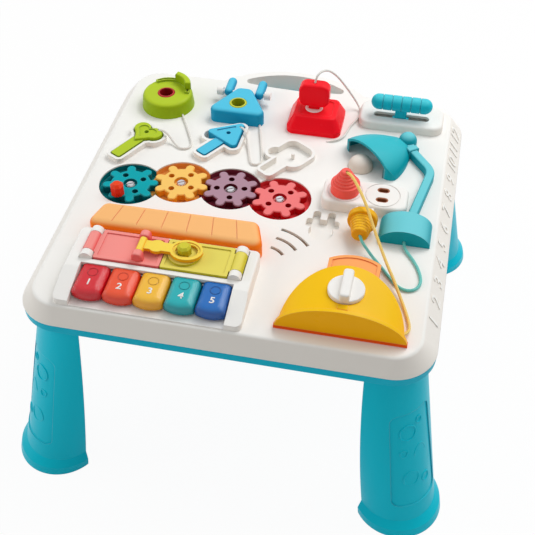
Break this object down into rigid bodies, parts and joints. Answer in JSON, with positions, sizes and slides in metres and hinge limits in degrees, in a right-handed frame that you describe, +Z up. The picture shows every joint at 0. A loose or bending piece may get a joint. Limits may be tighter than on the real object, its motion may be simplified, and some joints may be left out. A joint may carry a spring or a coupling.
{
  "type": "toddler activity table",
  "caption": "Low square play table on splayed legs with locks and keys, meshing gears, a piano house with doors, a lamp, an outlet with plugs, a toaster and a slider.",
  "frame": {"origin": "middle of the footprint on the floor", "axes": "+X to the right of a child at the front, +Y to the back where the carry handle is, +Z up"},
  "size_m": [0.46, 0.471, 0.2945],
  "materials": {
    "white_shell": "satin",
    "teal_shell": "satin",
    "teal_leg": "satin",
    "roof_orange": "satin",
    "door_pink": "satin",
    "hasp_yellow": "gloss",
    "knob_red": "gloss",
    "key_red": "gloss",
    "key_orange": "gloss",
    "key_yellow": "gloss",
    "key_teal": "gloss",
    "key_blue": "gloss",
    "gear_teal": "gloss",
    "gear_yellow": "gloss",
    "gear_plum": "gloss",
    "gear_red": "gloss",
    "lock_green": "gloss",
    "lock_blue": "gloss",
    "lock_red": "gloss",
    "white_trim": "gloss",
    "outlet_white": "gloss",
    "socket_brown": "matte",
    "plug_coral": "gloss",
    "plug_yellow": "gloss",
    "lamp_teal": "gloss",
    "bulb_white": "gloss",
    "door_lime": "gloss",
    "toaster_yellow": "gloss",
    "toaster_orange": "gloss",
    "bread_orange": "satin",
    "cord_white": "matte",
    "cord_yellow": "satin",
    "cord_teal": "satin",
    "rubber_pad": "matte",
    "steel": "brushed",
    "board": "matte",
    "speaker_black": "matte",
    "cell": "satin"
  },
  "bodies": {
    "table": {"top_deck": "white_shell", "bottom_shell": "teal_shell", "battery_door": "teal_shell", "leg_front_left": "teal_leg", "leg_front_right": "teal_leg", "leg_back_left": "teal_leg", "leg_back_right": "teal_leg", "piano_bezel": "white_shell", "roof_cover": "roof_orange", "hinge_pins": "steel", "key_pads": "rubber_pad", "green_lock_body": "lock_green", "blue_lock_body": "lock_blue", "red_lock_body": "lock_red", "outlet_block": "outlet_white", "socket_inserts": "socket_brown", "lamp_stand": "lamp_teal", "lamp_shade": "lamp_teal", "toaster_body": "toaster_yellow", "toaster_base": "toaster_orange", "yellow_cord": "cord_yellow", "teal_cord": "cord_teal", "green_key_cord": "cord_white", "blue_key_cord": "cord_white", "red_key_cord": "cord_white", "speaker": "speaker_black", "circuit_board": "board", "batteries": "cell", "case_screws": "steel"},
    "gear_teal": {"gear_teal": "gear_teal"},
    "gear_yellow": {"gear_yellow": "gear_yellow"},
    "gear_plum": {"gear_plum": "gear_plum"},
    "gear_red": {"gear_red": "gear_red"},
    "crank_knob": {"crank_knob": "knob_red"},
    "left_door": {"left_door": "door_pink"},
    "right_door": {"right_door": "door_lime"},
    "door_hasp": {"door_hasp": "hasp_yellow"},
    "latch_knob": {"latch_knob": "door_lime"},
    "piano_key_1": {"piano_key_1": "key_red"},
    "piano_key_2": {"piano_key_2": "key_orange"},
    "piano_key_3": {"piano_key_3": "key_yellow"},
    "piano_key_4": {"piano_key_4": "key_teal"},
    "piano_key_5": {"piano_key_5": "key_blue"},
    "green_keyhole": {"green_keyhole": "lock_red"},
    "blue_keyhole": {"blue_keyhole": "door_lime"},
    "green_shackle": {"green_shackle": "lock_green"},
    "green_key": {"green_key": "lock_green"},
    "blue_key": {"blue_key": "lock_blue"},
    "coral_plug": {"coral_plug": "plug_coral"},
    "lamp_bulb": {"lamp_bulb": "bulb_white"},
    "slide_handle": {"slide_handle": "lamp_teal"},
    "toaster_knob": {"toaster_knob": "white_trim"},
    "bread_slice": {"bread_slice": "bread_orange"},
    "power_switch": {"power_switch": "speaker_black"},
    "blue_shackle": {"blue_shackle": "lock_blue", "blue_axle": "white_trim"},
    "red_key": {"red_key": "lock_red", "red_keyhole": "white_trim"},
    "yellow_plug": {"yellow_plug": "plug_yellow", "yellow_prongs": "white_trim"}
  },
  "joints": [
    {"name": "gear_teal_turn", "type": "hinge", "parent": "table", "child": "gear_teal", "pos_m": [-0.1379, -0.0147, 0.228], "axis": [0, 0, 1], "continuous": true},
    {"name": "gear_yellow_turn", "type": "hinge", "parent": "table", "child": "gear_yellow", "pos_m": [-0.086, -0.0015, 0.228], "axis": [0, 0, 1], "continuous": true},
    {"name": "gear_plum_turn", "type": "hinge", "parent": "table", "child": "gear_plum", "pos_m": [-0.0324, -0.0015, 0.228], "axis": [0, 0, 1], "continuous": true},
    {"name": "gear_red_turn", "type": "hinge", "parent": "table", "child": "gear_red", "pos_m": [0.021, -0.0065, 0.228], "axis": [0, 0, 1], "continuous": true},
    {"name": "crank_knob_turn", "type": "hinge", "parent": "gear_teal", "child": "crank_knob", "pos_m": [-0.14572, -0.03311, 0.24], "axis": [0, 0, 1], "continuous": true},
    {"name": "left_door_turn", "type": "hinge", "parent": "table", "child": "left_door", "pos_m": [-0.14, -0.12625, 0.248], "axis": [0, -1, 0], "range_deg": [0, 100]},
    {"name": "right_door_turn", "type": "hinge", "parent": "table", "child": "right_door", "pos_m": [0.005, -0.12625, 0.248], "axis": [0, 1, 0], "range_deg": [0, 100]},
    {"name": "door_hasp_turn", "type": "hinge", "parent": "left_door", "child": "door_hasp", "pos_m": [-0.09, -0.1245, 0.2545], "axis": [0, -1, 0], "range_deg": [0, 150]},
    {"name": "latch_knob_turn", "type": "hinge", "parent": "right_door", "child": "latch_knob", "pos_m": [-0.048, -0.1245, 0.257], "axis": [0, 0, 1], "range_deg": [-90, 90]},
    {"name": "piano_key_1_turn", "type": "hinge", "parent": "table", "child": "piano_key_1", "pos_m": [-0.1272, -0.1508, 0.24], "axis": [1, 0, 0], "range_deg": [0, 3.5], "stiffness_Nm_per_rad": 0.03, "springref_deg": -8.59},
    {"name": "piano_key_2_turn", "type": "hinge", "parent": "table", "child": "piano_key_2", "pos_m": [-0.0976, -0.1508, 0.24], "axis": [1, 0, 0], "range_deg": [0, 3.5], "stiffness_Nm_per_rad": 0.03, "springref_deg": -8.59},
    {"name": "piano_key_3_turn", "type": "hinge", "parent": "table", "child": "piano_key_3", "pos_m": [-0.068, -0.1508, 0.24], "axis": [1, 0, 0], "range_deg": [0, 3.5], "stiffness_Nm_per_rad": 0.03, "springref_deg": -8.59},
    {"name": "piano_key_4_turn", "type": "hinge", "parent": "table", "child": "piano_key_4", "pos_m": [-0.0384, -0.1508, 0.24], "axis": [1, 0, 0], "range_deg": [0, 3.5], "stiffness_Nm_per_rad": 0.03, "springref_deg": -8.59},
    {"name": "piano_key_5_turn", "type": "hinge", "parent": "table", "child": "piano_key_5", "pos_m": [-0.0088, -0.1508, 0.24], "axis": [1, 0, 0], "range_deg": [0, 3.5], "stiffness_Nm_per_rad": 0.03, "springref_deg": -8.59},
    {"name": "green_keyhole_turn", "type": "hinge", "parent": "table", "child": "green_keyhole", "pos_m": [-0.138, 0.129, 0.242], "axis": [0, 0, 1], "range_deg": [0, 90]},
    {"name": "blue_keyhole_turn", "type": "hinge", "parent": "table", "child": "blue_keyhole", "pos_m": [-0.053, 0.126, 0.242], "axis": [0, 0, 1], "range_deg": [0, 90]},
    {"name": "red_key_turn", "type": "hinge", "parent": "table", "child": "red_key", "pos_m": [0.033, 0.132, 0.244], "axis": [0, 0, 1], "range_deg": [0, 90]},
    {"name": "green_shackle_turn", "type": "hinge", "parent": "table", "child": "green_shackle", "pos_m": [-0.137, 0.131, 0.25], "axis": [0, 0, 1], "range_deg": [0, 50]},
    {"name": "blue_shackle_turn", "type": "hinge", "parent": "table", "child": "blue_shackle", "pos_m": [-0.052, 0.152, 0.244], "axis": [1, 0, 0], "range_deg": [0, 70]},
    {"name": "green_key_slide", "type": "slide", "parent": "table", "child": "green_key", "axis": [0, 0, 1], "range_m": [0, 0.02], "deforming": ["green_key_cord"]},
    {"name": "blue_key_slide", "type": "slide", "parent": "table", "child": "blue_key", "axis": [0, 0, 1], "range_m": [0, 0.02], "deforming": ["blue_key_cord"]},
    {"name": "coral_plug_slide", "type": "slide", "parent": "table", "child": "coral_plug", "axis": [0, 0, 1], "range_m": [0, 0.014], "deforming": ["yellow_cord"]},
    {"name": "yellow_plug_slide", "type": "slide", "parent": "table", "child": "yellow_plug", "axis": [0, 0, 1], "range_m": [0, 0.02], "deforming": ["teal_cord"]},
    {"name": "lamp_bulb_slide", "type": "slide", "parent": "table", "child": "lamp_bulb", "axis": [0, 0, -1], "range_m": [0, 0.003], "stiffness_N_per_m": 100, "springref_m": -0.003},
    {"name": "slide_handle_slide", "type": "slide", "parent": "table", "child": "slide_handle", "axis": [1, 0, 0], "range_m": [-0.02, 0.02]},
    {"name": "toaster_knob_turn", "type": "hinge", "parent": "table", "child": "toaster_knob", "pos_m": [0.1105, -0.152, 0.252], "axis": [0, 0, 1], "range_deg": [-100, 0]},
    {"name": "bread_slice_slide", "type": "slide", "parent": "table", "child": "bread_slice", "axis": [0, 1, 0], "range_m": [-0.01746, 0]},
    {"name": "power_switch_slide", "type": "slide", "parent": "table", "child": "power_switch", "axis": [1, 0, 0], "range_m": [-0.002, 0.002]}
  ],
  "couplings": [
    {"joint": "gear_yellow_turn", "follows": "gear_teal_turn", "ratio": -1},
    {"joint": "gear_plum_turn", "follows": "gear_teal_turn", "ratio": 1},
    {"joint": "gear_red_turn", "follows": "gear_teal_turn", "ratio": -1},
    {"joint": "right_door_turn", "follows": "left_door_turn", "ratio": 1},
    {"joint": "bread_slice_slide", "follows": "toaster_knob_turn", "m_per_rad": 0.01}
  ]
}
